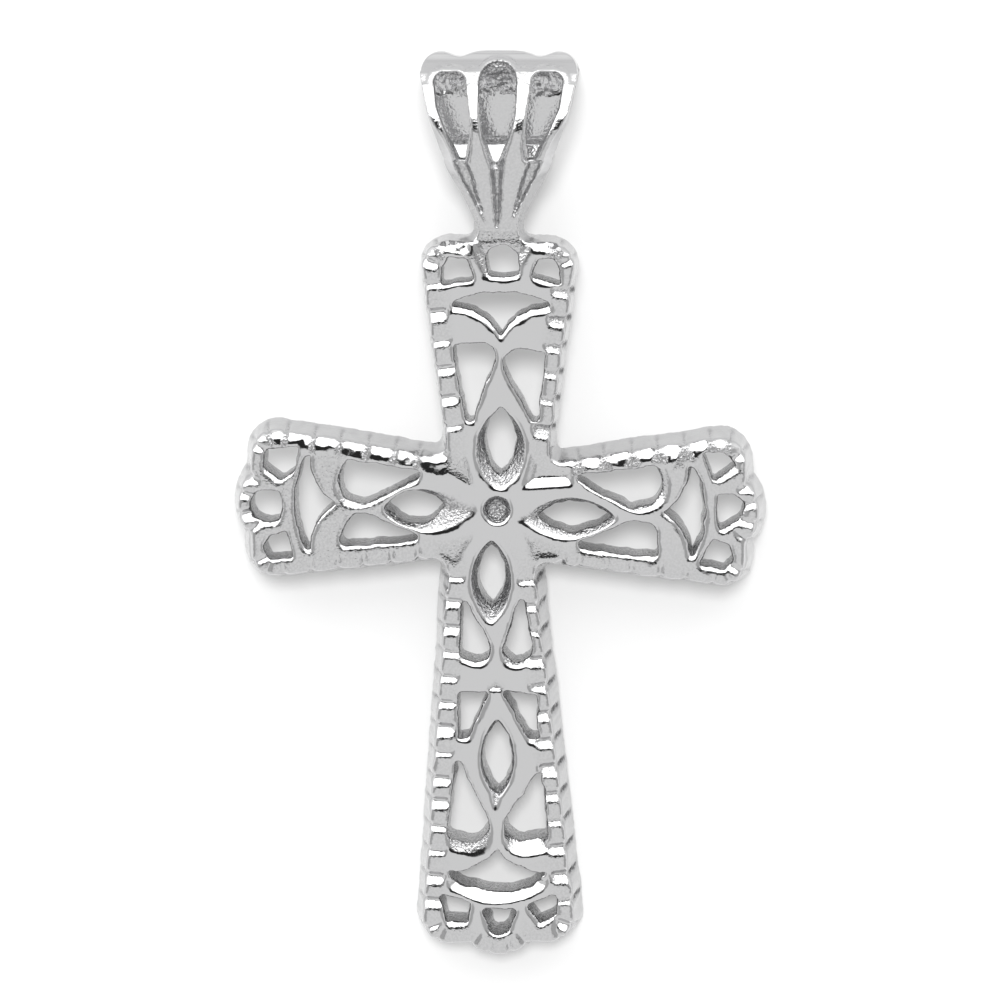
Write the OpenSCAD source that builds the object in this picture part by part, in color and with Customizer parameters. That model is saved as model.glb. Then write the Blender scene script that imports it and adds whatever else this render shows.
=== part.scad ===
// Pierced cross pendant with a fluted bail, cast as one piece and laid on its back
// Millimetres, drawn face up with the middle of the cross at the origin, then laid down

/* [Cross body] */
// Thickness of the cross from its flat back to its front
body_thickness = 2.1; // [1.8:0.05:2.4]
// Lean of the side walls over the thickness, wider at the back
draft = 0.3; // [0.1:0.05:0.4]
// The same on the top arm, whose walls are steeper
top_draft = 0.15; // [0.1:0.05:0.4]
// Width of the bevel round the front of the rim
rim_bevel = 0.2; // [0.1:0.02:0.24]
// Depth of that bevel
rim_bevel_depth = 0.16; // [0.1:0.02:0.24]
// Front half width of the short arms where they cross
short_half_width = 1.48; // [1.4:0.02:1.56]
// Gain in half width of a short arm per millimetre of reach
short_flare = 0.135; // [0.12:0.005:0.15]
// Front half width of the long arm where it leaves the crossing
long_half_width = 1.32; // [1.25:0.02:1.4]
// Gain in half width of the long arm per millimetre of reach
long_flare = 0.091; // [0.08:0.005:0.1]
// Reach of the side arms' front corners from the middle
side_reach = 8.55; // [8.4:0.05:8.7]
// Reach of the top arm's front corners
top_reach = 9.2; // [9.1:0.05:9.4]
// Reach of the long arm's front corners
long_reach = 15.15; // [14.9:0.05:15.3]
// Rounding of the arm ends
corner_radius = 0.85; // [0.7:0.05:1]
// Radius of the middle lobe of an arm end
lobe_radius = 1.6; // [1.4:0.05:1.8]
// How far that lobe stands out past the corners
lobe_stand = 0.42; // [0.3:0.02:0.5]
// Rounding of the inner corners on the right, at the front
right_fillet = 0.6; // [0.4:0.05:0.7]
// Rounding of the inner corners on the left, at the front
left_fillet = 0.45; // [0.4:0.05:0.6]

/* [Lean of the arms] */
// Lift of the left arm's end, in degrees
left_lift = 1.2; // [0:0.1:2]
// Lift of the right arm's end, in degrees
right_lift = 0.5; // [0:0.1:1]
// Drop of the right arm where it leaves the crossing
right_drop = 0.16; // [0:0.02:0.2]
// Side shift of the long arm where it leaves the crossing
long_shift_x = 0.3; // [0:0.02:0.4]
// Swing of the long arm back to the middle line, in degrees
long_swing = 1.25; // [0:0.05:1.5]

/* [Openings] */
// Side shift of the top arm's pattern
top_pattern_x = 0.08; // [0:0.02:0.1]
// Side shift of the long arm's pattern
long_pattern_x = -0.08; // [-0.1:0.02:0]
// Width of the bevel round the front of each opening
opening_bevel = 0.2; // [0.1:0.02:0.22]
// Depth of that bevel
opening_bevel_depth = 0.18; // [0.1:0.02:0.3]
// Stretch of the top arm's pattern along the arm
top_stretch = 1.06; // [1.04:0.01:1.07]
// Distance from a short arm's end pattern to the long arm's
end_pattern_shift = 6.66; // [6.5:0.02:6.8]
// Radius of the blind pit in the middle
pit_radius = 0.46; // [0.4:0.02:0.5]
// Depth of the pit
pit_depth = 0.7; // [0.4:0.1:1.2]

/* [Rim notches] */
// Width of a notch along the rim
notch_width = 0.3; // [0.2:0.02:0.36]
// Depth of a notch below the front
notch_depth = 0.22; // [0.12:0.02:0.3]
// Spacing of the notches on the short arms
short_notch_pitch = 0.92; // [0.85:0.01:0.95]
// Spacing of the notches on the long arm
long_notch_pitch = 0.88; // [0.85:0.01:0.9]

/* [Bail] */
// Top of the bail above the middle of the cross
bail_height = 15.72; // [15.6:0.02:15.9]
// Side shift of the bail
bail_x = 0.07; // [0:0.01:0.1]
// Metal between the loop's outside and its hollow
bail_wall = 0.55; // [0.45:0.05:0.65]
// How far the loop stands out behind the back of the cross
bail_back = 1.6; // [1.4:0.1:1.8]
// How far the loop stands out in front of the cross
bail_rise = 0.55; // [0.4:0.05:0.7]
// Height of the loop's centre above the middle of the cross
loop_y = 13.35; // [13.2:0.05:13.5]
// Depth of the grooves that run down the neck
rib_groove = 0.28; // [0.15:0.02:0.35]

/* [Hidden] */
thin = 0.01;
over = 0.2;
metal = [0.84, 0.85, 0.87];
curve_steps = 36;
small_steps = 16;
// Middle and half sizes of the loop seen from the side
loop_front = body_thickness + bail_rise;
loop_z = (loop_front - bail_back) / 2;
loop_half_y = bail_height - loop_y;
loop_half_z = (loop_front + bail_back) / 2;
// The long arm's end and the back of the loop touch the surface it lies on
foot_y = long_reach + lobe_stand + draft;
rest_tilt = asin((loop_half_z - loop_z) / (foot_y + loop_y));
rest_lift = foot_y * sin(rest_tilt);
reach_top = loop_y * cos(rest_tilt) - loop_z * sin(rest_tilt) + loop_half_y;
reach_bottom = foot_y * cos(rest_tilt);

function half_at(reach, base, flare) = base + flare * reach;

// Distance of an end corner's centre from the arm's middle line
function corner_at(reach, base, flare) = half_at(reach, base, flare) - (1 + flare) * corner_radius;

// A round post with leaning sides and a bevelled top, the corner of a hull
module post(x, y, radius, lean) {
    translate([x, y, 0])
        cylinder(h = body_thickness - rim_bevel_depth, r1 = radius + lean, r2 = radius, $fn = curve_steps);
    translate([x, y, body_thickness - rim_bevel_depth])
        cylinder(h = rim_bevel_depth, r1 = radius, r2 = radius - rim_bevel, $fn = curve_steps);
}

// One arm pointing along +Y, from the middle of the cross to its reach
module arm(reach, base, flare, lean) {
    corner = corner_at(reach, base, flare);
    root_radius = 0.4;
    hull()
        for (side = [-1, 1]) {
            post(side * corner, reach - corner_radius, corner_radius, lean);
            post(side * (base - root_radius), 0, root_radius, lean);
        }
}

module end_lobe(reach) {
    post(0, reach + lobe_stand - lobe_radius, lobe_radius, draft);
}

// Cuts a flat outline through the body, with a bevel round its front edge
module opening(bevel = opening_bevel, depth = opening_bevel_depth) {
    translate([0, 0, -over])
        linear_extrude(height = body_thickness + 2 * over)
            children();
    hull() {
        translate([0, 0, body_thickness - depth])
            linear_extrude(height = thin)
                children();
        translate([0, 0, body_thickness + thin])
            linear_extrude(height = thin)
                offset(r = bevel, $fn = small_steps)
                    children();
    }
}

// Two arcs meeting at points above and below the middle
module lens(length, width) {
    radius = (length * length / 4 + width * width / 4) / width;
    intersection() {
        translate([radius - width / 2, 0])
            circle(r = radius, $fn = 2 * curve_steps);
        translate([width / 2 - radius, 0])
            circle(r = radius, $fn = 2 * curve_steps);
    }
}

// Petal hole with a long sloping seat: open from near to far, its seat reaching from rim to end
module petal(near, far, width, seat_near, seat_far, seat_width) {
    seat_depth = 0.9;
    translate([0, (near + far) / 2, -over])
        linear_extrude(height = body_thickness + 2 * over)
            lens(far - near, width);
    hull() {
        translate([0, (near + far) / 2, body_thickness - seat_depth])
            linear_extrude(height = thin)
                lens(far - near, width);
        translate([0, (seat_near + seat_far) / 2, body_thickness + thin])
            linear_extrude(height = thin)
                lens(seat_far - seat_near, seat_width);
    }
}

// Teardrop with its round end away from the middle and its point beside the rim
module teardrop(round_y, round_x, radius, tip_y, tip_x, corner_y, corner_x) {
    for (side = [-1, 1])
        opening()
            hull() {
                translate([side * round_x, round_y])
                    circle(r = radius, $fn = curve_steps / 2);
                translate([side * corner_x, corner_y])
                    circle(r = 0.16, $fn = small_steps / 2);
                translate([side * tip_x, tip_y])
                    circle(r = 0.1, $fn = small_steps / 2);
            }
}

// Four-cornered hole on each side of the arm
module four_corners(points, radius) {
    for (side = [-1, 1])
        opening()
            hull()
                for (p = points)
                    translate([side * p[0], p[1]])
                        circle(r = radius, $fn = small_steps / 2);
}

// Crescent between a round arch and a bow that comes to a point on the arm's middle line
module crescent(tip, apex, sag, span) {
    bow_x = 1.6;
    end_gap = 0.16;
    rise = apex - sag - end_gap - tip;
    bow_radius = (bow_x * bow_x + rise * rise) / (2 * rise);
    bow_y = tip - sqrt(bow_radius * bow_radius - bow_x * bow_x);
    arch_radius = (span * span + sag * sag) / (2 * sag);
    straight = body_thickness - opening_bevel_depth + over;
    taper = opening_bevel_depth + over;
    gain = opening_bevel * taper / opening_bevel_depth;
    bow_gain = gain * 0.6;
    difference() {
        union() {
            intersection() {
                translate([0, apex - arch_radius, -over])
                    cylinder(h = straight, r = arch_radius, $fn = 2 * curve_steps);
                translate([-span, tip - opening_bevel, -over])
                    cube([2 * span, apex - tip + 1, straight]);
            }
            intersection() {
                translate([0, apex - arch_radius, straight - over])
                    cylinder(h = taper, r1 = arch_radius, r2 = arch_radius + gain, $fn = 2 * curve_steps);
                hull() {
                    translate([-span, tip - opening_bevel, straight - over])
                        cube([2 * span, apex - tip + 1, thin]);
                    translate([-span - gain, tip - opening_bevel, straight + taper - over - thin])
                        cube([2 * (span + gain), apex - tip + 1, thin]);
                }
            }
        }
        for (side = [-1, 1])
            translate([side * bow_x, bow_y, 0]) {
                translate([0, 0, -2 * over])
                    cylinder(h = straight + over, r = bow_radius, $fn = 2 * curve_steps);
                translate([0, 0, straight - over])
                    cylinder(h = taper + over, r1 = bow_radius, r2 = bow_radius - bow_gain * (taper + over) / taper,
                             $fn = 2 * curve_steps);
            }
    }
}

// Three holes in an arm end: one flat-sided in the middle and one at each corner
module end_holes(flat_y, corner_y, rise = 0) {
    round_radius = 0.55;
    opening()
        hull() {
            translate([0, flat_y + 0.44])
                circle(r = round_radius, $fn = curve_steps / 2);
            for (side = [-1, 1])
                translate([side * (round_radius - 0.12), flat_y + 0.1 + rise])
                    circle(r = 0.1, $fn = small_steps / 2);
        }
    translate([0, corner_y])
        four_corners([[1.73, 0.48], [1.36, 0.52], [1.1, rise], [1.8, rise - 0.2]], 0.17);
}

// Openings of a top or side arm: its petal, teardrops, crescent and end holes
module short_arm_openings(stretch, petal_near, petal_far, petal_width, petal_shift, tip_y, corner_y, rise = 0) {
    translate([petal_shift, 0])
        petal(petal_near, petal_far, 1.05, 0.66, petal_far + 0.14, petal_width);
    teardrop(4.72 * stretch, 0.86, 0.64, 2.92 * stretch, 1.13, 5.16 * stretch, 1.42);
    crescent(tip_y, 7.05 * stretch, 0.42, 1.72);
    end_holes(7.55 * stretch, corner_y, rise);
}

module long_arm_openings() {
    translate([0.16, 0])
        petal(1.34, 3.56, 0.95, 1.1, 4.0, 1.36);
    teardrop(4.9, 0.66, 0.5, 3.38, 0.98, 5.2, 1.02);
    four_corners([[0.38, 6.6], [1.22, 6.6], [1.34, 8.15], [1.14, 8.2]], 0.1);
    petal(7.5, 10.05, 1.04, 7.35, 10.75, 1.24);
    teardrop(11.06, 0.94, 0.68, 9.02, 1.36, 11.48, 1.5);
    crescent(12.05, 13.62, 0.5, 1.72);
    end_holes(7.55 + end_pattern_shift, 7.34 + end_pattern_shift);
    bow_pocket(5.98);
}

// Blind three-sided pocket between the bow and the marquise
module bow_pocket(top) {
    pocket_depth = 0.35;
    hull() {
        translate([0, 0, body_thickness - pocket_depth])
            linear_extrude(height = thin)
                polygon([[0, top + 0.15], [-0.3, top + 0.6], [0.3, top + 0.6]]);
        translate([0, 0, body_thickness + thin])
            linear_extrude(height = thin)
                polygon([[0, top - 0.1], [-0.5, top + 0.7], [0.5, top + 0.7]]);
    }
}

// V cut across the rim from a point of its front edge, with a groove down the side wall
module notch(x, y, turn, lean) {
    cut_length = 1.1;
    cut_overhang = 0.25;
    cut_slope = 8;
    groove_depth = 0.09;
    groove_reach = 0.1;
    translate([x, y, body_thickness])
        rotate([0, 0, turn]) {
            rotate([0, cut_slope, 0])
                translate([cut_overhang - cut_length, 0, 0])
                    rotate([90, 0, 90])
                        linear_extrude(height = cut_length)
                            polygon([[-notch_width / 2, 0.04], [0, -notch_depth], [notch_width / 2, 0.04]]);
            translate([0, 0, -body_thickness - over])
                rotate([0, -atan(lean / body_thickness), 0])
                    linear_extrude(height = body_thickness + over)
                        translate([lean + thin, 0])
                            polygon([[-groove_depth, 0], [groove_reach, -notch_width / 2],
                                     [groove_reach, notch_width / 2]]);
        }
}

// Row of notches down both edges of an arm
module notch_row(count, first, pitch, base, flare, lean) {
    for (i = [0 : count - 1], side = [-1, 1]) {
        y = first + i * pitch;
        notch(side * half_at(y, base, flare), y, side > 0 ? -atan(flare) : 180 + atan(flare), lean);
    }
}

// Cuts that fan out round the corners of an arm end
module corner_notches(reach, base, flare, lean) {
    corner = corner_at(reach, base, flare);
    for (side = [-1, 1], turn = [22, 62])
        translate([side * corner, reach - corner_radius, 0])
            rotate([0, 0, side > 0 ? turn : 180 - turn])
                notch(corner_radius, 0, 0, lean);
}

// Cuts across the middle lobe of an arm end
module lobe_notches(reach) {
    for (turn = [52, 76, 104, 128])
        translate([0, reach + lobe_stand - lobe_radius, 0])
            rotate([0, 0, turn])
                notch(lobe_radius, 0, 0, draft);
}

module short_arm_notches(stretch, reach, lean) {
    notch_row(6, 2.75, short_notch_pitch * stretch, short_half_width, short_flare, lean);
    corner_notches(reach, short_half_width, short_flare, lean);
}

module long_arm_notches() {
    notch_row(14, 2.6, long_notch_pitch, long_half_width, long_flare, draft);
    corner_notches(long_reach, long_half_width, long_flare, draft);
    lobe_notches(long_reach);
}

// Valley from an inner corner towards the pit, deepest at the corner
module valley() {
    hull() {
        translate([2.2, 0, body_thickness - 0.42])
            sphere(r = 0.06, $fn = 8);
        for (side = [-1, 1])
            translate([2.4, side * 0.52, body_thickness + 0.05])
                sphere(r = 0.05, $fn = 8);
        translate([0.95, 0, body_thickness + 0.02])
            sphere(r = 0.04, $fn = 8);
    }
}

// Rounded web in an inner corner of the cross, with leaning sides and a bevelled top
module inner_corner(x, y, radius) {
    overlap = 0.3;
    rim_z = body_thickness - rim_bevel_depth;
    translate([x, y, 0])
        scale([sign(x), sign(y), 1])
            difference() {
                translate([-overlap, -overlap, 0])
                    cube([radius + overlap, radius + overlap, body_thickness]);
                translate([radius, radius, -thin])
                    cylinder(h = rim_z + 2 * thin, r1 = radius - draft, r2 = radius, $fn = curve_steps);
                translate([radius, radius, rim_z])
                    cylinder(h = rim_bevel_depth + thin, r1 = radius, r2 = radius + rim_bevel, $fn = curve_steps);
            }
}

module left_place() {
    rotate([0, 0, 90 - left_lift])
        children();
}

module right_place() {
    translate([0, -right_drop, 0])
        rotate([0, 0, right_lift - 90])
            children();
}

module long_place() {
    translate([-long_shift_x, 0, 0])
        rotate([0, 0, 180 + long_swing])
            children();
}

module side_arm() {
    arm(side_reach, short_half_width, short_flare, draft);
    end_lobe(side_reach);
}

module body_blank() {
    arm(top_reach, short_half_width, short_flare, top_draft);
    left_place()
        side_arm();
    right_place()
        side_arm();
    long_place() {
        arm(long_reach, long_half_width, long_flare, draft);
        end_lobe(long_reach);
    }
    inner_corner(1.68, 1.56, right_fillet);
    inner_corner(-1.68, 1.72, left_fillet);
    inner_corner(1.22, -1.82, right_fillet);
    inner_corner(-1.72, -1.66, left_fillet);
}

module body_openings() {
    translate([top_pattern_x, 0, 0])
        short_arm_openings(top_stretch, 1.13, 3.55, 1.8, 0, 5.9, 7.98, 0.2);
    rotate([0, 0, 90])
        short_arm_openings(1, 1.85, 3.72, 1.4, 0, 5.7, 7.34);
    right_place()
        short_arm_openings(1, 1.45, 3.82, 1.4, 0.22, 5.7, 7.4);
    translate([long_pattern_x, 0, 0])
        rotate([0, 0, 180])
            long_arm_openings();
    translate([0, 0, body_thickness - pit_depth])
        cylinder(h = pit_depth + over, r = pit_radius, $fn = curve_steps / 2);
    for (turn = [45 : 90 : 315])
        rotate([0, 0, turn])
            valley();
}

module body_notches() {
    short_arm_notches(top_stretch, top_reach, top_draft);
    left_place() {
        short_arm_notches(1, side_reach, draft);
        lobe_notches(side_reach);
    }
    right_place() {
        short_arm_notches(1, side_reach, draft);
        lobe_notches(side_reach);
    }
    long_place()
        long_arm_notches();
}

// Points of an ellipse arc
function arc(cx, cy, rx, ry, from, to, steps) =
    [for (i = [0 : steps]) let (a = from + (to - from) * i / steps) [cx + rx * cos(a), cy + ry * sin(a)]];

function mirrored(points) = [for (i = [len(points) - 1 : -1 : 0]) [-points[i][0], points[i][1]]];

// Front view of the bail: a fan on a filleted neck, with three lobes along its top
module bail_front() {
    neck = 0.87;
    shoulder = 0.5;
    lobe = 0.7;
    lobe_x = 1.95;
    lobe_y = 14.92;
    crown = 2.55;
    shoulder_y = top_reach + top_draft + shoulder - 0.03;
    side = concat([[neck + shoulder, top_reach - corner_radius]],
                  arc(neck + shoulder, shoulder_y, shoulder, shoulder, 270, 180, 5),
                  [[0.93, 10.24], [1.67, 11.86], [2.31, 13.76], [lobe_x + lobe, lobe_y + 0.1]]);
    polygon(concat(side, mirrored(side)));
    for (end = [-1, 1])
        translate([end * lobe_x, lobe_y])
            circle(r = lobe, $fn = curve_steps);
    intersection() {
        translate([0, bail_height + 0.05 - crown])
            circle(r = crown, $fn = 2 * curve_steps);
        translate([-lobe_x, loop_y])
            square([2 * lobe_x, 3]);
    }
}

// Side view of a loop or its hollow, in Y and Z, swept along X
module swept(width, points) {
    translate([-width / 2, 0, 0])
        rotate([90, 0, 90])
            linear_extrude(height = width)
                polygon(points);
}

module bail() {
    width = 7;
    neck_y = top_reach - 0.44;
    inset = 0.03;
    hollow_y = 13.62;
    outer = concat([[neck_y, inset], [neck_y, body_thickness - inset], [9.9, body_thickness + 0.05]],
                   arc(loop_y, loop_z, loop_half_y, loop_half_z, 98, -98, 20),
                   [[11.4, -1.2], [9.9, 0]]);
    hollow = concat([[12.2, body_thickness - 0.15]],
                    arc(hollow_y, loop_z, bail_height - hollow_y - bail_wall, loop_half_z - bail_wall, 90, -90, 16),
                    [[12.4, loop_z - loop_half_z + bail_wall + 0.2], [11.9, 0.3], [11.86, 1.2]]);
    difference() {
        intersection() {
            swept(width, outer);
            translate([0, 0, -width / 2])
                linear_extrude(height = width)
                    bail_front();
        }
        swept(width, hollow);
        bail_slots();
        bail_grooves();
    }
}

// Arched slots between the ribs, through the front of the loop only
module bail_slots() {
    slot_floor = 0.6;
    translate([0, 0, slot_floor])
        linear_extrude(height = 4) {
            hull() {
                translate([0, 14.72])
                    circle(r = 0.6, $fn = curve_steps / 2);
                translate([0, 13.2])
                    circle(r = 0.5, $fn = small_steps);
                translate([0, 12.1])
                    circle(r = 0.2, $fn = small_steps);
            }
            for (side = [-1, 1])
                hull() {
                    for (x = [1.4, 1.9])
                        translate([side * x, 14.56])
                            circle(r = 0.3, $fn = small_steps);
                    translate([side * 1.25, 13.3])
                        circle(r = 0.25, $fn = small_steps);
                    translate([side * 1.2, 12.3])
                        circle(r = 0.14, $fn = small_steps);
                }
        }
}

// V grooves that carry on down the neck below the slots
module bail_grooves() {
    edge = 0.02;
    for (line = [-1, 0, 1])
        hull() {
            translate([line * 1.2, 12.5, body_thickness + 0.05])
                cylinder(h = 1.2, r1 = edge, r2 = 0.75, $fn = 10);
            translate([line * 0.52, 9.8, body_thickness - rib_groove + 0.1])
                cylinder(h = 1, r1 = edge, r2 = 0.7, $fn = 10);
        }
}

module cross_pendant() {
    color(metal)
        translate([0, (reach_bottom - reach_top) / 2, rest_lift])
            rotate([rest_tilt, 0, 0])
                difference() {
                    union() {
                        body_blank();
                        translate([bail_x, 0, 0])
                            bail();
                    }
                    body_openings();
                    body_notches();
                }
}

cross_pendant();
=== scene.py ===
"""Cross pendant: a polished cast-metal piece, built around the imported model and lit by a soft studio."""
import math

import bpy
import numpy as np
import openvdb
from mathutils import Matrix, Vector


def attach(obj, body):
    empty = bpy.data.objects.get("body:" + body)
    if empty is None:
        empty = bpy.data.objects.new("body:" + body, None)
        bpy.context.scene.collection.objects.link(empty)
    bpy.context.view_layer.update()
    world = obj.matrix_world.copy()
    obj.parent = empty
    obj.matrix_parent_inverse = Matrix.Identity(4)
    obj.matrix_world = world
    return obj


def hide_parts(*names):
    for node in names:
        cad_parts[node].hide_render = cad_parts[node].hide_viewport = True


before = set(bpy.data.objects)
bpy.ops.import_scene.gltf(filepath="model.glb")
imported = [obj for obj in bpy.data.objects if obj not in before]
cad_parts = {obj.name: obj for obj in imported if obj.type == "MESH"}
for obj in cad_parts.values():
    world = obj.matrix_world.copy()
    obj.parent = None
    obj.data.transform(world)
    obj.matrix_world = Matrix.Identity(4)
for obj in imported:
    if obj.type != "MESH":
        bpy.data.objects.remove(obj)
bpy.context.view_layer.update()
MM = 0.001

# Grid of the distance field, in millimetres of the design frame
VOXEL = 0.05
GRID_LOW = (-9.6, -16.3, -1.9)
GRID_HIGH = (9.6, 16.1, 3.0)
FAR = 9.0

# About how many triangles the thinned mesh keeps
TRIANGLES = 194000

# Body of the cross, face up, its middle at the origin
THICKNESS = 2.1
CORNER = 0.85
LOBE = 1.6
LOBE_STAND = 0.42
SIDE_REACH = 8.55
TOP_REACH = 9.2
LONG_REACH = 15.15
SHORT_BASE, SHORT_FLARE = 1.48, 0.135
LONG_BASE, LONG_FLARE = 1.32, 0.091
DRAFT = 0.3
TOP_DRAFT = 0.15
INNER_FILLET = 0.5
WALL_LEAN = 0.02

# Bevels round the holes, and the worn lip above them, whose width varies
BEVEL_SLOPE = 0.72
BEVEL_SPREAD = 0.03
LIP_SLOPE = 0.18
LIP_WIDTH, LIP_SPREAD, LIP_MOST = 0.11, 0.05, 0.18

# How the pendant lies on its back
BAIL_HEIGHT = 15.72
LOOP_Y = 13.35
LOOP_RISE, LOOP_DROP = 0.55, 1.6
LOOP_Z = (THICKNESS + LOOP_RISE - LOOP_DROP) / 2
LOOP_HALF_Y = BAIL_HEIGHT - LOOP_Y
LOOP_HALF_Z = (THICKNESS + LOOP_RISE + LOOP_DROP) / 2
FOOT_Y = LONG_REACH + LOBE_STAND + DRAFT
REST_TILT = math.asin((LOOP_HALF_Z - LOOP_Z) / (FOOT_Y + LOOP_Y))
REST_LIFT = FOOT_Y * math.sin(REST_TILT)
REACH_TOP = LOOP_Y * math.cos(REST_TILT) - LOOP_Z * math.sin(REST_TILT) + LOOP_HALF_Y
REACH_BOTTOM = FOOT_Y * math.cos(REST_TILT)
LAID_DOWN = (Matrix.Translation((0, (REACH_BOTTOM - REACH_TOP) / 2, REST_LIFT))
             @ Matrix.Rotation(REST_TILT, 4, "X"))

# Polish: base colour of the bright metal and of the darker colour for grain specks and painted shade, and
# roughness of the bright and of the grainy metal
BRIGHT, SHADE_AND_SPECK = (0.67, 0.67, 0.675, 1), (0.3, 0.3, 0.305, 1)
BRIGHT_ROUGH, GRAINY_ROUGH = 0.07, 0.2

# Studio: view in degrees, millimetres and pixels, and the strengths of the lights
VIEW_TILT, VIEW_TURN = 6.4, 1.7
VIEW_DISTANCE = 220
VIEW_AIM = (0.069, 0.31, THICKNESS)
FRAME_PIXELS, PIXELS_PER_MM = 1000, 29
BASE_LIGHT, PANEL_LIGHT, CARD_LIGHT = 0.87, 1.6, 2.9


def axis(k):
    """Coordinates of the grid points along one axis."""
    count = int(round((GRID_HIGH[k] - GRID_LOW[k]) / VOXEL)) + 1
    return (GRID_LOW[k] + VOXEL * np.arange(count)).astype(np.float32)


XS, YS, ZS = axis(0), axis(1), axis(2)
X, Y = np.meshgrid(XS, YS, indexing="ij")
BAIL_START = int(np.searchsorted(YS, 8.2))


class Place:
    """A turned and shifted frame in the plane of the cross, with +v along an arm."""

    def __init__(self, x=0.0, y=0.0, degrees=0.0):
        turn = math.radians(degrees)
        self.origin = (x, y)
        self.u_axis = (math.cos(turn), math.sin(turn))
        self.v_axis = (-math.sin(turn), math.cos(turn))

    def local(self, x, y):
        dx, dy = x - self.origin[0], y - self.origin[1]
        u = dx * self.u_axis[0] + dy * self.u_axis[1]
        v = dx * self.v_axis[0] + dy * self.v_axis[1]
        return u, v

    def world(self, u, v):
        x = self.origin[0] + u * self.u_axis[0] + v * self.v_axis[0]
        y = self.origin[1] + u * self.u_axis[1] + v * self.v_axis[1]
        return x, y


TOP = Place()
LEFT = Place(degrees=88.8)
RIGHT = Place(y=-0.16, degrees=-89.5)
LONG = Place(x=-0.3, degrees=181.25)
LONG_PATTERN = Place(x=-0.08, degrees=180)


def round_union(a, b, radius):
    """Union of two distance fields with a fillet."""
    corner = np.hypot(np.maximum(radius - a, 0), np.maximum(radius - b, 0))
    return np.maximum(np.minimum(a, b), radius) - corner


def round_cut(a, b, radius):
    """Intersection of two distance fields with a rounded edge."""
    corner = np.hypot(np.maximum(radius + a, 0), np.maximum(radius + b, 0))
    return np.minimum(np.maximum(a, b), -radius) + corner


def ramp(value, low, high):
    """Smooth step from 0 at low to 1 at high."""
    t = np.clip((value - low) / (high - low), 0, 1)
    return t * t * (3 - 2 * t)


def wave(shape, size, seed):
    """Smooth random field with unit spread whose bumps are about size millimetres across."""
    noise = np.random.default_rng(seed).standard_normal(shape)
    across = np.fft.fftfreq(shape[0], VOXEL)[:, None]
    along = np.fft.rfftfreq(shape[1], VOXEL)[None, :]
    keep = np.exp(-0.5 * (across ** 2 + along ** 2) * (2.2 * size) ** 2)
    field = np.fft.irfft2(np.fft.rfft2(noise) * keep, s=shape)
    return (field / field.std()).astype(np.float32)


def convex_hull(points):
    """Corners of the convex hull of a list of points, anticlockwise."""
    points = sorted(set(points))

    def half(sequence):
        chain = []
        for p in sequence:
            while len(chain) > 1:
                (ax, ay), (bx, by) = chain[-2], chain[-1]
                if (bx - ax) * (p[1] - ay) - (by - ay) * (p[0] - ax) > 0:
                    break
                chain.pop()
            chain.append(p)
        return chain[:-1]

    return half(points) + half(points[::-1])


def disc_hull(discs):
    """Hull of discs given as (u, v, radius)."""
    steps = 20
    points = []
    for u, v, radius in discs:
        for i in range(steps):
            turn = 2 * math.pi * i / steps
            points.append((round(u + radius * math.cos(turn), 5), round(v + radius * math.sin(turn), 5)))
    return convex_hull(points)


def polygon_distance(u, v, points):
    """Signed distance to a closed polygon, negative inside."""
    nearest = np.full(u.shape, 1e9, np.float32)
    inside = np.zeros(u.shape, bool)
    for i, (ax, ay) in enumerate(points):
        bx, by = points[i - 1]
        ex, ey = bx - ax, by - ay
        pu, pv = u - ax, v - ay
        t = np.clip((pu * ex + pv * ey) / (ex * ex + ey * ey), 0, 1)
        nearest = np.minimum(nearest, (pu - t * ex) ** 2 + (pv - t * ey) ** 2)
        crosses = (ay > v) != (by > v)
        if by != ay:
            inside ^= crosses & (u < (bx - ax) * (v - ay) / (by - ay) + ax)
    return np.where(inside, -1, 1) * np.sqrt(nearest)


class Window:
    """The part of the plane near some local points, where a small shape is worked out."""

    def __init__(self, place, low, high, margin=0.9):
        corners = [place.world(u, v) for u in (low[0], high[0]) for v in (low[1], high[1])]
        i0, i1 = self.span([c[0] for c in corners], XS, margin)
        j0, j1 = self.span([c[1] for c in corners], YS, margin)
        self.cells = (slice(i0, i1), slice(j0, j1))
        self.u, self.v = place.local(X[self.cells], Y[self.cells])

    @staticmethod
    def span(values, grid, margin):
        first = int(np.searchsorted(grid, min(values) - margin))
        last = int(np.searchsorted(grid, max(values) + margin))
        return first, last


def arm(place, reach, base, flare):
    """Distance field of one arm with rounded ends."""
    u, v = place.local(X, Y)
    slant = CORNER * math.hypot(1, flare)
    root, tip = base - slant, base + flare * (reach - CORNER) - slant
    points = [(root, 0), (tip, reach - CORNER), (-tip, reach - CORNER), (-root, 0)]
    return polygon_distance(u, v, points) - CORNER


def end_lobe(place, reach):
    """Distance field of the round lobe at an arm's end."""
    u, v = place.local(X, Y)
    return np.hypot(u, v - (reach + LOBE_STAND - LOBE)) - LOBE


def outline():
    """Distance field of the cross seen from the front."""
    lobe_blend = 0.12

    def lobed(place, reach, base, flare):
        return round_union(arm(place, reach, base, flare), end_lobe(place, reach), lobe_blend)

    left = lobed(LEFT, SIDE_REACH, SHORT_BASE, SHORT_FLARE)
    right = lobed(RIGHT, SIDE_REACH, SHORT_BASE, SHORT_FLARE)
    long = lobed(LONG, LONG_REACH, LONG_BASE, LONG_FLARE)
    top = arm(TOP, TOP_REACH, SHORT_BASE, SHORT_FLARE)
    return round_union(np.minimum(left, right), np.minimum(top, long), INNER_FILLET)


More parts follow.
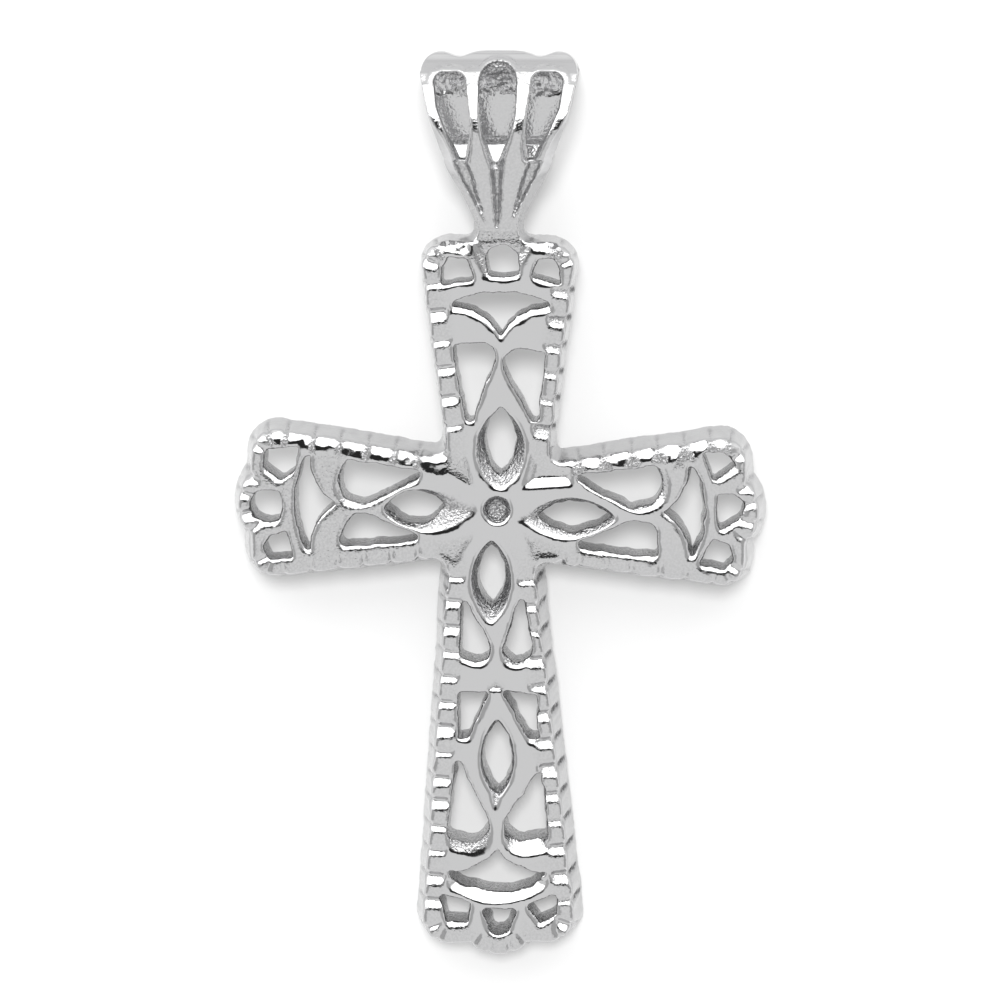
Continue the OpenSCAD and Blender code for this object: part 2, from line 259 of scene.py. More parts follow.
class Relief:
    """The cross as flat fields: outline, holes, depth below the front, grain of the skin and file cuts."""

    def __init__(self):
        self.edge = outline()
        self.hole = np.full(X.shape, FAR, np.float32)
        self.depth = np.zeros(X.shape, np.float32)
        self.grain = np.zeros(X.shape, np.float32)
        self.hole_lean = np.full(X.shape, WALL_LEAN, np.float32)
        self.file_cut = np.zeros(X.shape, np.float32)
        self.lip = np.clip(LIP_WIDTH + LIP_SPREAD * wave(X.shape, 0.35, 12), 0, LIP_MOST)

    def sink(self, cells, depth, grain=0.0):
        """Lowers the front where depth is greater than what is there, and makes it grainy."""
        self.depth[cells] = np.maximum(self.depth[cells], depth)
        self.grain[cells] = np.maximum(self.grain[cells], grain * ramp(depth, 0.02, 0.12))

    def bore(self, window, front, seat, seat_depth, lean, grain=0.0):
        """Cuts a hole whose walls lean in towards the back.

        The front slopes down to it from the outline of its seat, with a worn lip round that.
        """
        cells = window.cells
        nearer = front < self.hole[cells]
        self.hole[cells] = np.minimum(self.hole[cells], front)
        self.hole_lean[cells] = np.where(nearer, lean, self.hole_lean[cells])
        inward = np.maximum(-seat, 0)
        share = inward / np.maximum(inward + np.maximum(front, 0), 1e-4)
        lip = self.lip[cells]
        self.sink(cells, seat_depth * share + LIP_SLOPE * np.clip(lip - seat, 0, lip), grain)


def disc(u, v, cu, cv, radius):
    """Distance field of a disc with its middle at cu, cv."""
    return np.hypot(u - cu, v - cv) - radius


def lens(u, v, near, far, width):
    """Two arcs that meet at points near and far along v."""
    length = far - near
    radius = (length * length / 4 + width * width / 4) / width
    middle = (near + far) / 2
    left = disc(u, v, radius - width / 2, middle, radius)
    right = disc(u, v, width / 2 - radius, middle, radius)
    return np.maximum(left, right)


def bore_hull(relief, discs, west=0.0, south=0.05, grain=0.0, lean=WALL_LEAN, slope=BEVEL_SLOPE):
    """Hole with a convex front outline, its seat the same outline moved to the west and south."""
    points = disc_hull(discs)
    low = (min(p[0] for p in points), min(p[1] for p in points))
    high = (max(p[0] for p in points), max(p[1] for p in points))
    window = Window(Place(), low, high)
    front = polygon_distance(window.u, window.v, points)
    seat = polygon_distance(window.u + west, window.v + south, points) - BEVEL_SPREAD
    relief.bore(window, front, seat, slope * (math.hypot(west, south) + BEVEL_SPREAD), lean, grain)


def petal(relief, place, hole, shift, seat, seat_shift, seat_depth=0.5):
    """Petal hole with a long sloping seat, each given as near, far and width."""
    lean, grain = 0.05, 0.7
    window = Window(place, (-seat[2], seat[0]), (seat[2], seat[1]))
    front = lens(window.u - shift, window.v, *hole)
    relief.bore(window, front, lens(window.u - seat_shift, window.v, *seat), seat_depth, lean, grain)


def crescent(relief, place, tip, apex, sag, span, south=0.06, lean=WALL_LEAN):
    """Crescent between a round arch and a bow that comes to a point on the arm's middle line."""
    bow_x, end_gap, end_round, slope = 1.6, 0.16, 0.12, 0.75
    rise = apex - sag - end_gap - tip
    bow_radius = (bow_x ** 2 + rise ** 2) / (2 * rise)
    bow_v = tip - math.sqrt(bow_radius ** 2 - bow_x ** 2)
    arch_radius = (span ** 2 + sag ** 2) / (2 * sag)
    window = Window(place, (-span, tip), (span, apex))

    def shape(u, v):
        arch = disc(u, v, 0, apex - arch_radius, arch_radius)
        bows = np.minimum(disc(u, v, -bow_x, bow_v, bow_radius), disc(u, v, bow_x, bow_v, bow_radius))
        return np.maximum(round_cut(arch, np.abs(u) - span, end_round), -bows)

    shifted = Place(place.origin[0], place.origin[1] - south)
    shifted.u_axis, shifted.v_axis = place.u_axis, place.v_axis
    seat = shape(*shifted.local(X[window.cells], Y[window.cells])) - BEVEL_SPREAD
    relief.bore(window, shape(window.u, window.v), seat, slope * (south + BEVEL_SPREAD), lean)


def top_arm_openings(relief):
    petal(relief, Place(x=0.08), (1.13, 3.6, 1.1), 0, (0.66, 3.35, 1.75), 0, 0.42)
    crescent(relief, Place(x=0.1), 6.02, 7.5, 0.36, 1.7, south=0.14)
    bore_hull(relief, [(-1.69, 8.59, 0.1), (-1.14, 8.57, 0.1), (-0.97, 8, 0.1), (-1.85, 7.84, 0.1),
                       (-1.85, 8.28, 0.1)])
    bore_hull(relief, [(1.45, 8.55, 0.1), (1.83, 8.55, 0.1), (2.05, 8.24, 0.1), (2.03, 7.86, 0.1),
                       (1.26, 8.07, 0.1)])
    bore_hull(relief, [(0.145, 8.57, 0.56), (-0.24, 8.16, 0.1), (0.59, 8.16, 0.1)], south=0.07)
    bore_hull(relief, [(-0.62, 5.21, 0.52), (-1.41, 5.55, 0.14), (-1, 3.17, 0.14)])
    bore_hull(relief, [(0.76, 5, 0.57), (1.45, 5.28, 0.15), (1.28, 3.17, 0.13)])


def left_arm_openings(relief):
    petal(relief, Place(degrees=90), (1.85, 3.86, 1.17), 0.035, (0.77, 4, 1.4), -0.07, 0.26)
    crescent(relief, Place(y=0.17, degrees=90), 5.64, 7.03, 0.38, 1.62)
    bore_hull(relief, [(-7.88, 1.95, 0.1), (-7.03, 2.03, 0.1), (-7.14, 1.35, 0.1), (-7.52, 1.1, 0.1),
                       (-7.97, 1.48, 0.1)], 0.08, 0.09, 0.4)
    bore_hull(relief, [(-8, 0.1, 0.55), (-7.66, 0.48, 0.1), (-7.66, -0.31, 0.1)], 0.05, 0.14)
    bore_hull(relief, [(-7.41, -0.92, 0.1), (-7.21, -1.65, 0.1), (-7.86, -1.69, 0.1), (-8, -1.34, 0.1),
                       (-7.83, -1.07, 0.1)], grain=0.5)
    bore_hull(relief, [(-4.76, 0.9, 0.72), (-5.14, 1.52, 0.14), (-2.83, 1.19, 0.14)], 0.12, 0.14, 0.2)
    bore_hull(relief, [(-5.24, -1.07, 0.25), (-4.93, -0.38, 0.22), (-4.59, -0.31, 0.15), (-2.9, -0.99, 0.1)])


def right_arm_openings(relief):
    petal(relief, Place(degrees=-90), (1.38, 3.9, 1.02), 0.25, (0.76, 4.1, 1.41), 0.33, 0.26)
    crescent(relief, Place(y=-0.1, degrees=-90), 5.69, 7.14, 0.38, 1.56, lean=0.1)
    bore_hull(relief, [(7.21, 1.88, 0.1), (7.76, 1.86, 0.1), (8.07, 1.52, 0.1), (7.48, 1.15, 0.1)],
              -0.12, 0.1, 0.4)
    bore_hull(relief, [(8.03, 0.03, 0.48), (7.67, 0.41, 0.1), (7.69, -0.59, 0.1)], -0.05, 0.08, 0.4)
    bore_hull(relief, [(7.48, -1.19, 0.1), (7.93, -1.31, 0.1), (8.02, -1.69, 0.1), (7.79, -2, 0.1),
                       (7.07, -1.86, 0.1), (7.24, -1.48, 0.1)], grain=0.6)
    bore_hull(relief, [(5, 0.79, 0.66), (4.62, 0.17, 0.15), (5.38, 1.35, 0.12), (2.86, 1.06, 0.12)],
              -0.22, 0.08, 0.3)
    bore_hull(relief, [(4.72, -1, 0.6), (5.31, -1.48, 0.2), (5.17, -0.79, 0.3), (2.93, -1.24, 0.14)],
              south=0.06)


def long_arm_openings(relief):
    petal(relief, LONG_PATTERN, (1.25, 3.5, 1.0), 0.15, (1.1, 4, 1.36), 0.16)
    petal(relief, LONG_PATTERN, (7.4, 10, 1.04), -0.06, (7.3, 10.15, 1.12), -0.05, 0.2)
    polygon_recess(relief, LONG_PATTERN, [(-0.2, 9.9), (0.2, 9.9), (0.02, 10.7)], 0.16, 0.12, 0.3)
    crescent(relief, Place(x=-0.03, degrees=180), 11.91, 13.41, 0.6, 1.7, south=0.33)
    bore_hull(relief, [(-0.76, -4.83, 0.5), (-1.16, -5.03, 0.15), (-1.16, -3.34, 0.1)], south=0.12)
    bore_hull(relief, [(0.66, -4.86, 0.5), (0.98, -5.1, 0.12), (0.81, -3.26, 0.08)], south=0.14, grain=1)
    bore_hull(relief, [(-1.28, -6.52, 0.1), (-0.48, -6.5, 0.1), (-1.1, -7.9, 0.1), (-1.28, -7.9, 0.1)])
    bore_hull(relief, [(0.31, -6.45, 0.1), (1.21, -6.57, 0.1), (1.31, -7.93, 0.1), (1.14, -7.97, 0.1)],
              lean=0.04)
    bore_hull(relief, [(-0.97, -11.03, 0.66), (-1.57, -11.35, 0.2), (-1.39, -8.93, 0.12)],
              -0.04, 0.38, 1, 0.06, 0.28)
    bore_hull(relief, [(0.86, -11, 0.62), (1.48, -11.35, 0.2), (1.41, -9.34, 0.12)], 0, 0.45, 0.3, 0.06)
    bore_hull(relief, [(-1.86, -13.62, 0.1), (-1.07, -13.86, 0.1), (-1.17, -14.35, 0.1),
                       (-1.69, -14.35, 0.1)], south=0.12)
    bore_hull(relief, [(-0.38, -14.1, 0.1), (0.52, -14.08, 0.1), (0.03, -14.48, 0.42)], grain=0.8, lean=0.1)
    bore_hull(relief, [(1.14, -13.9, 0.1), (1.9, -13.59, 0.1), (1.92, -14.1, 0.1), (1.48, -14.38, 0.1)],
              south=0.1, grain=0.5)


def body_field(relief):
    """Distance field of the cross from its flat fields."""
    cut_depth, front_edge, back_edge = 0.07, 0.06, 0.1
    outer_lean = DRAFT + (TOP_DRAFT - DRAFT) * ramp(Y, 1.8, 2.8) * ramp(3.4 - np.abs(X), 0, 0.4)
    lean = np.where(relief.edge > -relief.hole, outer_lean, relief.hole_lean)
    wall = np.maximum(relief.edge, -relief.hole)
    front = THICKNESS - relief.depth
    slope = np.hypot(*np.gradient(front, VOXEL))
    steepness = np.sqrt(1 + slope * slope)
    z = ZS[None, None, :]
    side = wall[:, :, None] - lean[:, :, None] * (1 - z / THICKNESS)
    side = side + cut_depth * np.minimum(relief.file_cut, 1)[:, :, None] * ramp(z, 0.3, 1.0)
    top = (z - front[:, :, None]) / steepness[:, :, None]
    field = round_cut(side, top, front_edge)
    return round_cut(field, np.broadcast_to(-z, field.shape), back_edge)


def soften(field, size):
    """Blurs a flat field by about size millimetres."""
    across = np.fft.fftfreq(field.shape[0], VOXEL)[:, None]
    along = np.fft.rfftfreq(field.shape[1], VOXEL)[None, :]
    keep = np.exp(-0.5 * (across ** 2 + along ** 2) * (2 * math.pi * size) ** 2)
    return np.fft.irfft2(np.fft.rfft2(field) * keep, s=field.shape).astype(np.float32)


def cast_unevenness(relief):
    """Slight waviness of the outlines, as in a hand-finished casting."""
    relief.edge += 0.012 * wave(X.shape, 0.6, 1) + 0.007 * wave(X.shape, 0.14, 2)
    relief.hole += 0.02 * wave(X.shape, 0.4, 3) + 0.008 * wave(X.shape, 0.12, 4)


def rim(relief):
    """Bevel round the outside, widest where it faces the picture's top, with a soft shoulder above it."""
    slope, shoulder_slope = 0.8, 0.2
    facing_top = ramp(np.gradient(relief.edge, VOXEL)[1], 0.2, 0.8)
    width = 0.03 + 0.15 * facing_top
    shoulder_width = 0.02 + facing_top * np.clip(0.3 + 0.08 * wave(X.shape, 0.3, 11), 0.06, 0.42)
    rough = 1 + 1.2 * ramp(Y, 8.0, 8.6)
    calm = relief.edge + 0.02 * rough * wave(X.shape, 0.4, 6)
    edge = calm + 0.02 * rough * wave(X.shape, 0.1, 5)
    bail_foot = ramp(Y, 8.6, 9.0) * ramp(1.25 - np.abs(X - 0.07), 0, 0.3)
    bevel = slope * np.clip(width + edge, 0, 1.6 * width)
    shoulder = shoulder_slope * np.clip(width + shoulder_width + calm, 0, shoulder_width)
    relief.sink(slice(None), (bevel + shoulder) * (1 - bail_foot))
    rim_grain = 0.12 * ramp(relief.edge, -0.8, -0.55)
    arm_grain = 0.16 * ramp(-X, 2.6, 4.0) + 0.08 * ramp(X, 5.0, 6.0)
    relief.grain = np.maximum(relief.grain, np.maximum(rim_grain, arm_grain))
    bright_band = ramp(relief.edge + width + shoulder_width, -0.08, -0.02) * (1 - ramp(relief.edge, 0.3, 0.5))
    relief.grain *= 1 - facing_top * bright_band


def notch(relief, place, u, v, degrees, size, mark=1.0, grain=0.04):
    """V cut across the rim, its gentle wall facing the picture's top and left, with a file cut below it.

    Where the rim faces the picture's top, a sandy bridge stands in the cut. A large mark is slanted.
    """
    light_x, light_y = -0.35, 0.94
    x, y = place.world(u, v)
    turn = math.radians(degrees)
    out_x = place.u_axis[0] * math.cos(turn) + place.v_axis[0] * math.sin(turn)
    out_y = place.u_axis[1] * math.cos(turn) + place.v_axis[1] * math.sin(turn)
    size *= 1 - 0.6 * max(-out_y, 0) ** 2 - 0.45 * max(out_y, 0) ** 2
    length, depth, gentle, steep = 0.7 - 0.2 * max(out_y, 0), 0.17 * size, 0.66, 1.8
    window = Window(Place(x, y), (-0.6, -0.6), (0.6, 0.6), 0.4)
    cells = window.cells
    inward = -(window.u * out_x + window.v * out_y)
    along = -window.u * out_y + window.v * out_x
    if light_y * out_x - light_x * out_y < 0:
        along = -along
    run_out = length - 0.12 - 0.3 * abs(out_y)
    line = depth * (1 - ramp(inward, run_out, length)) + 0.9 * np.maximum(0.08 - inward, 0)
    across = np.where(along < 0, -along * gentle, along * steep)
    lip = 0.11 if size > 0.95 else 0.0
    worn = LIP_SLOPE * np.clip(lip + (line - across) / gentle, 0, lip) * (along < 0)
    cut = (np.maximum(line - across, 0) + worn) * (inward < length)
    if out_y > 0.8:
        half_width = 0.1 + 0.4 * (0.5 + size) * np.clip(inward, 0, 0.5) * (0.2 if x < 0 else 1)
        bridge = ramp(half_width - np.abs(along), 0, 0.05) * (inward < 0.55)
        relief.depth[cells] *= 1 - 0.95 * bridge
        relief.grain[cells] = np.maximum(relief.grain[cells], 0.6 * bridge)
        cut = cut * 0.1
    relief.depth[cells] += cut
    relief.grain[cells] = np.maximum(relief.grain[cells] * (cut < 0.02), grain * ramp(cut, 0, 0.05))
    slant, width = (0.5, 0.08) if mark > 2 else (0.0, 0.065 * mark)
    track = along + slant * (inward + 0.17)
    file_cut = mark * np.exp(-(track / width) ** 2) * ramp(0.4 - np.abs(inward), 0, 0.2)
    relief.file_cut[cells] = np.maximum(relief.file_cut[cells], file_cut)


def notch_row(relief, place, side, count, first, pitch, base, flare, dice, mark=1.0, grain=0.04):
    """Notches down one edge of an arm."""
    for i in range(count):
        v = first + i * pitch + 0.03 * dice.standard_normal()
        angle = -math.degrees(math.atan(flare))
        notch(relief, place, side * (base + flare * v), v, angle if side > 0 else 180 - angle,
              1 + 0.2 * dice.standard_normal(), mark, grain)


def end_notches(relief, place, reach, base, flare, dice, lobe=True):
    """Cuts that fan out round the corners and the lobe of an arm end."""
    corner = base + flare * reach - (1 + flare) * CORNER
    for side in (-1, 1):
        for turn in (22, 62):
            angle = turn if side > 0 else 180 - turn
            u = side * corner + CORNER * math.cos(math.radians(angle))
            v = reach - CORNER + CORNER * math.sin(math.radians(angle))
            notch(relief, place, u, v, angle, 1 + 0.15 * dice.standard_normal())
    if lobe:
        for angle in (52, 76, 104, 128):
            u = LOBE * math.cos(math.radians(angle))
            v = reach + LOBE_STAND - LOBE + LOBE * math.sin(math.radians(angle))
            notch(relief, place, u, v, angle, 0.9 + 0.1 * dice.standard_normal())


def notches(relief):
    """All the notches of the rim, arm by arm."""
    dice = np.random.default_rng(5)
    notch_row(relief, TOP, -1, 6, 2.88, 0.976, SHORT_BASE, SHORT_FLARE, dice, 1, 0.1)
    notch_row(relief, TOP, 1, 6, 2.8, 0.94, SHORT_BASE, SHORT_FLARE, dice, 1.9, 0.5)
    end_notches(relief, TOP, TOP_REACH, SHORT_BASE, SHORT_FLARE, dice, lobe=False)
    for place in (LEFT, RIGHT):
        for side in (-1, 1):
            notch_row(relief, place, side, 6, 2.75, 0.92, SHORT_BASE, SHORT_FLARE, dice)
        end_notches(relief, place, SIDE_REACH, SHORT_BASE, SHORT_FLARE, dice)
    notch_row(relief, LONG, 1, 14, 2.31, 0.868, LONG_BASE, LONG_FLARE, dice, 1, 0.15)
    notch_row(relief, LONG, -1, 13, 2.39, 0.94, LONG_BASE, LONG_FLARE, dice, 2.3, 0.3)
    end_notches(relief, LONG, LONG_REACH, LONG_BASE, LONG_FLARE, dice)


def valleys(relief):
    """Shallow hollows between the petals, with a bright slope where they face the picture's top."""
    upper_left = [(-1.72, 1.95), (-1.07, 1.95), (-0.69, 0.64), (-0.95, 0.74), (-2, 1.36)]
    upper_right = [(1.14, 2.03), (1.76, 1.76), (2.62, 1.35), (2.59, 0.81), (0.79, 0.7)]
    lower_left = [(-2.34, -1.62), (-1.9, -1.07), (-0.69, -0.72), (-0.83, -1.07), (-1.52, -2.2), (-1.72, -1.9)]
    lower_right = [(0.69, -0.65), (1.79, -1.07), (2.69, -1.76), (1.45, -1.76), (1.24, -1.97)]
    polygon_recess(relief, Place(), upper_left, 0.035, 0.24, 0.2)
    polygon_recess(relief, Place(), upper_right, 0.2, 0.34, 0.1, 0.08)
    polygon_recess(relief, Place(), lower_left, 0.04, 0.25, 0.2)
    polygon_recess(relief, Place(), lower_right, 0.04, 0.25, 0.2)


def plateau(relief):
    """Sunk sandy field round the top arm's middle hole, at the foot of the bail."""
    polygon_recess(relief, TOP, [(-1.35, 9.9), (-0.5, 8.0), (0.64, 8.0), (1.7, 9.9)], 0.15, 0.4, 0.25, 0.12)
    slopes = np.hypot(*np.gradient(soften(relief.depth, 0.05), VOXEL))
    near = ramp(Y, 7.9, 8.1) * ramp(9.0 - Y, 0, 0.2) * ramp(1.7 - np.abs(X - 0.1), 0, 0.3)
    relief.grain = np.maximum(relief.grain, 0.4 * near * ramp(slopes, 0.2, 0.4))


def pit(relief):
    """Blind round pit in the middle."""
    radius, depth = 0.5, 0.4
    distance = radius - np.hypot(X + 0.045, Y + 0.03) + 0.015 * wave(X.shape, 0.2, 7)
    relief.sink(slice(None), depth * ramp(distance, 0, 0.2), 1.0)


def polygon_recess(relief, place, points, depth, side_width, grain, lip=0.0):
    """Sunk area with sloping sides and, where lip is given, a worn lip that wide round it."""
    window = Window(place, (min(p[0] for p in points), min(p[1] for p in points)),
                    (max(p[0] for p in points), max(p[1] for p in points)), 0.2)
    inside = -polygon_distance(window.u, window.v, points)
    share = ramp(inside, 0, side_width)
    relief.sink(window.cells, depth * share + LIP_SLOPE * np.clip(lip + inside, 0, lip))
    relief.grain[window.cells] = np.maximum(relief.grain[window.cells], grain * share)


def bail_fan(x, y):
    """Distance field of the bail's fan seen from the front, with the three lobes of its crown."""
    half = [(1.3, 8.6), (1.3, 9.36), (1.15, 9.4), (1.03, 9.58), (0.99, 9.84), (1.09, 10.2), (1.83, 11.88),
            (2.44, 13.6), (2.76, 15.04)]
    fan = polygon_distance(x, y, half + [(-u, v) for u, v in half[::-1]])
    for u in (-2.04, 2.04):
        fan = np.minimum(fan, disc(x, y, u, 15.02, 0.68))
    crown = np.maximum(disc(x, y, 0, 12.82, 3), np.maximum(np.abs(x) - 1.95, 13.4 - y))
    return round_union(fan, crown, 0.3)


def bail_loop(y, z):
    """Distance fields of the bail's loop and of its hollow seen from the side."""
    loop = [(8.75, 0.05), (8.75, 1.94), (9.6, 1.97), (9.85, 2.12), (11.2, 2.38), (12.3, 2.58), (12.9, 2.65),
            (13.1, 2.64), (13.52, 2.56), (14.0, 2.36), (14.6, 1.92), (15.05, 1.45), (15.4, 0.7),
            (15.62, 0.1), (15.71, -0.3), (15.62, -0.8), (15.35, -1.2), (14.9, -1.46), (14.2, -1.58),
            (13.35, -1.6), (12.5, -1.5), (11.4, -1.2), (9.9, 0.0)]
    hollow = [(12.05, 2.0), (13.0, 2.12), (13.6, 1.98), (14.2, 1.68), (14.7, 1.15), (15.0, 0.5),
              (15.1, -0.1), (14.95, -0.65), (14.6, -0.98), (14.3, -1.08), (12.52, -1.1), (12.38, -1.05),
              (11.6, -0.72), (11.6, 0.9)]
    return polygon_distance(y, z, loop), polygon_distance(y, z, hollow)


def bail_slots(x, y):
    """Distance field of the three slots seen from the front. The side slots' feet stand slightly left."""
    slots = polygon_distance(x, y, disc_hull([(-0.02, 14.7, 0.63), (-0.03, 13.6, 0.61), (-0.06, 13, 0.5),
                                              (-0.07, 12.2, 0.27), (-0.09, 11.8, 0.12)]))
    for side in (-1, 1):
        discs = [(side * 1.9, 14.7, 0.3), (side * 1.44, 14.7, 0.3), (side * 1.84, 13.9, 0.25),
                 (side * 1.2, 13.2, 0.25), (side * 1.04 - 0.04, 12.6, 0.12),
                 (side * 1.05 - 0.05, 12.1, 0.1), (side * 1.27 - 0.05, 12.1, 0.1)]
        slots = np.minimum(slots, polygon_distance(x, y, disc_hull(discs)))
    return slots


def bail_grooves(x, y):
    """Distance field of the grooves that run from the slots' feet down to the neck."""
    rise = y - 10.24
    middle = np.abs(x + 0.03) - 0.15 - 0.08 * rise
    outer = np.abs(np.abs(x) - 0.57 - 0.41 * rise) - np.minimum(0.1 + 0.17 * rise, 0.3)
    grooves = np.maximum(np.maximum(np.minimum(middle, outer), 9.66 - y), y - 12.1)
    return grooves + 0.012 * wave(x.shape, 0.12, 8)


def bail_front_arches(x, y):
    """Distance field of the ribs' front face, with an arch over each slot. The crown lies back from it."""
    below = [(-3, 8.4), (3, 8.4), (3, 14.6), (-3, 14.6)]
    arches = np.minimum(disc(x, y, 0, 14.74, 0.76), polygon_distance(x, y, below))
    for side in (-1, 1):
        over_slot = disc_hull([(side * 2.0, 14.72, 0.42), (side * 1.52, 14.78, 0.42)])
        arches = np.minimum(arches, polygon_distance(x, y, over_slot))
        arches = np.minimum(arches, disc(x, y, side * 0.86, 14.9, 0.26))
    return arches


def bail_field():
    """Distance field of the bail, the grain of its front, and its hollow seen from the side."""
    groove_depth, arch_step, rib_edge, groove_edge, slot_edge, hollow_edge = 0.26, 0.1, 0.05, 0.04, 0.12, 0.08
    x, y = X[:, BAIL_START:], Y[:, BAIL_START:]
    z = ZS[None, None, :]
    loop, hollow = bail_loop(*np.meshgrid(YS[BAIL_START:], ZS, indexing="ij"))
    fan, slots = bail_fan(x, y)[:, :, None], bail_slots(x, y)[:, :, None]
    grooves = bail_grooves(x, y)
    furrow = ramp(-grooves, -0.02, 0.2)[:, :, None]
    low, neck = 1 - ramp(y, 12.2, 13.8)[:, :, None], 1 - ramp(y, 10.9, 11.7)[:, :, None]
    side_width, side_depth = 0.04 + 0.3 * low, 0.5 + 1.1 * neck
    ratio = side_width / side_depth
    lean = (fan + ratio * loop[None, :, :] + side_width) / np.sqrt(1 + ratio * ratio)
    solid = round_cut(np.maximum(fan, lean), np.broadcast_to(loop[None, :, :], lean.shape), rib_edge)
    solid = round_cut(solid, (loop[None, :, :] + groove_depth * furrow) / 1.4, groove_edge)
    step = arch_step * ramp(bail_front_arches(x, y), 0, 0.08)[:, :, None] * ramp(z, 0, 0.5)
    solid = np.maximum(solid, loop[None, :, :] + step)
    funnel = 0.3 * (1 - ramp(y, 12.3, 13.3))[:, :, None] * np.clip(2.5 - z, 0, 1.2)
    solid = round_cut(solid, -np.maximum(slots + funnel, 0.6 - z), slot_edge)
    bumps = (0.03 * wave(x.shape, 0.12, 9) * ramp(y, 14.0, 14.3))[:, :, None]
    solid = round_cut(solid, -(hollow[None, :, :] + bumps), hollow_edge)
    arch = ramp(-disc(x, y, 0, 14.74, 0.74), 0, 0.1) * ramp(y, 14.6, 14.9)
    grain = np.maximum(0.4 * ramp(-grooves, -0.02, 0.06), 0.9 * arch)
    return solid, grain, hollow


def mesh_from_field(field, name, detail):
    """Surface of a distance field as a thinned mesh in design millimetres.

    Vertices that detail picks out are thinned less than the rest.
    """
    band = 3 * VOXEL
    grid = openvdb.FloatGrid(band)
    grid.copyFromArray(np.clip(field, -band, band))
    points, _, faces = grid.convertToPolygons(isovalue=0.0, adaptivity=0.0)
    points = points * VOXEL + np.array(GRID_LOW)
    mesh = bpy.data.meshes.new(name)
    mesh.vertices.add(len(points))
    mesh.vertices.foreach_set("co", points.astype(np.float32).ravel())
    mesh.loops.add(faces.size)
    mesh.loops.foreach_set("vertex_index", faces.astype(np.int32).ravel())
    mesh.polygons.add(len(faces))
    mesh.polygons.foreach_set("loop_start", np.arange(0, faces.size, 4, dtype=np.int32))
    mesh.update(calc_edges=True)
    mesh.validate()
    piece = bpy.data.objects.new(name, mesh)
    bpy.context.collection.objects.link(piece)
    free = piece.vertex_groups.new(name="free")
    fine = detail(points)
    for chosen, weight in ((~fine, 1.0), (fine, 0.5)):
        free.add(np.nonzero(chosen)[0].tolist(), weight, "REPLACE")
    thin = piece.modifiers.new("thin", "DECIMATE")
    thin.vertex_group = "free"
    thin.vertex_group_factor = 0.0007
    thin.ratio = min(1.0, TRIANGLES / (2 * len(faces)))
    flat = piece.modifiers.new("flat", "WEIGHTED_NORMAL")
    flat.mode, flat.weight, flat.thresh = "FACE_AREA", 60, 0.01
    mesh.polygons.foreach_set("use_smooth", np.ones(len(faces), bool))
    evaluated = piece.evaluated_get(bpy.context.evaluated_depsgraph_get())
    final = bpy.data.meshes.new_from_object(evaluated)
    piece.modifiers.clear()
    piece.data = final
    bpy.data.meshes.remove(mesh)
    final.name = name
    return piece


def sample(field, points):
    """Trilinear values of the field at points of the design frame."""
    where = (points - np.array(GRID_LOW)) / VOXEL
    cell = np.clip(where.astype(int), 0, np.array(field.shape) - 2)
    f = where - cell
    out = 0
    for a in (0, 1):
        for b in (0, 1):
            for c in (0, 1):
                weight = ((f[:, 0] if a else 1 - f[:, 0]) * (f[:, 1] if b else 1 - f[:, 1])
                          * (f[:, 2] if c else 1 - f[:, 2]))
                out = out + weight * field[cell[:, 0] + a, cell[:, 1] + b, cell[:, 2] + c]
    return out


def smooth_normals(field, points):
    """Normals of the field's surface, steadier than those of thinned faces."""
    reach = 0.8 * VOXEL
    normals = np.empty_like(points)
    for k in range(3):
        step = np.zeros(3)
        step[k] = reach
        normals[:, k] = sample(field, points + step) - sample(field, points - step)
    return normals / np.maximum(np.linalg.norm(normals, axis=1, keepdims=True), 1e-9)


def nearest_cell(values, k):
    """Index of the grid point nearest each coordinate along axis k."""
    return np.clip(((values - GRID_LOW[k]) / VOXEL).round().astype(int), 0, len((XS, YS, ZS)[k]) - 1)


def low_relief(relief):
    """How much of the front near each point has a gentle slope, from 0 to 1."""
    slopes = np.hypot(*np.gradient(relief.depth, VOXEL))
    on_front = np.maximum(relief.edge, -relief.hole) < 0.02
    return soften(((slopes > 0.05) & (slopes < 1.6) & on_front).astype(float), 0.05)


def fine_detail(relief, busy, points):
    """True where the surface has low relief or deep file cuts that thinning would flatten."""
    i, j = nearest_cell(points[:, 0], 0), nearest_cell(points[:, 1], 1)
    x, y, z = points.T
    front = (busy[i, j] > 0.15) & (z > 1.3)
    back_wall = (y > 11.2) & (y < 14.6) & (z > -1.2) & (z < 0.2) & (np.abs(x) < 2.5)
    file_cuts = (relief.file_cut[i, j] > 0.7) & (relief.edge[i, j] > 0.03) & (z > 0.2) & (z < 1.9)
    return front | back_wall | file_cuts


